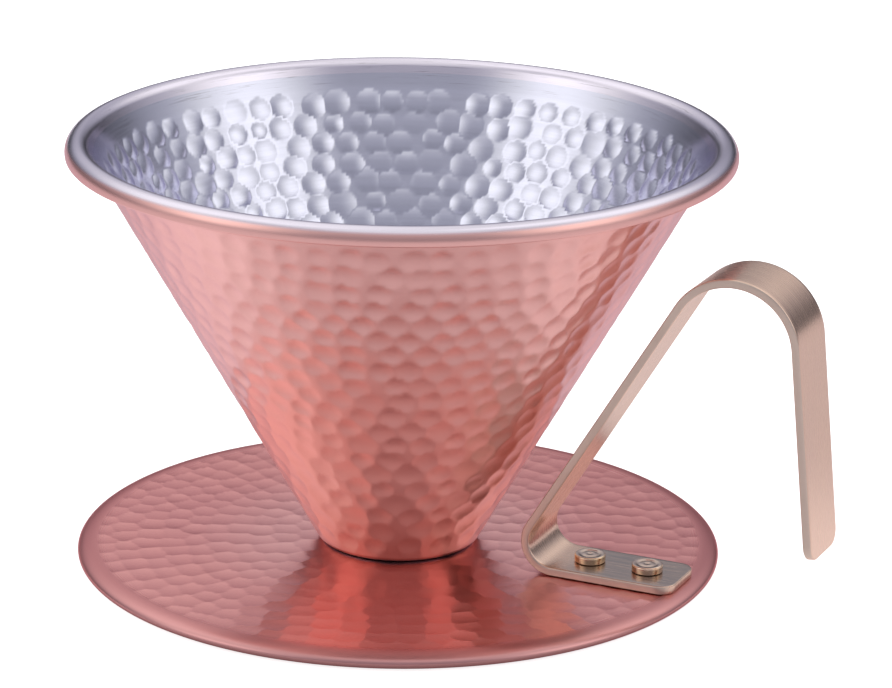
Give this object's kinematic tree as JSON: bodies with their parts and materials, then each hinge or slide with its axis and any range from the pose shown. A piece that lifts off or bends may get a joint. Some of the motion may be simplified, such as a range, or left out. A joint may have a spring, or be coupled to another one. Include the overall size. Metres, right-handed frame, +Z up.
{
  "type": "pour over dripper",
  "caption": "Hammered copper pour over coffee cone with tinned inside, rolled lip and drip outlet, on a round plate that sits on a mug, with a riveted bent strip handle.",
  "frame": {"origin": "under the middle of the whole width, handle included, in the plane that the plate's hem rests on; the cone's axis stands 10.8 mm to -X of it", "axes": "+Z up, parallel to the cone's axis, +X towards the handle, +Y across it"},
  "size_m": [0.1376, 0.116, 0.0763],
  "materials": {
    "hammered_copper_cone": "hammered satin copper outside, silvery tin plating inside and over the lip",
    "hammered_copper_plate": "hammered satin copper with a smooth border",
    "satin_brass": "satin, brushed along the strip, edges slightly rounded",
    "rivet_brass": "semi bright, tops dished by setting"
  },
  "bodies": {
    "root": {"dripper_cone": "hammered_copper_cone", "base_plate": "hammered_copper_plate", "handle_strip": "satin_brass", "rivet_inner": "rivet_brass", "rivet_outer": "rivet_brass"}
  },
  "joints": []
}
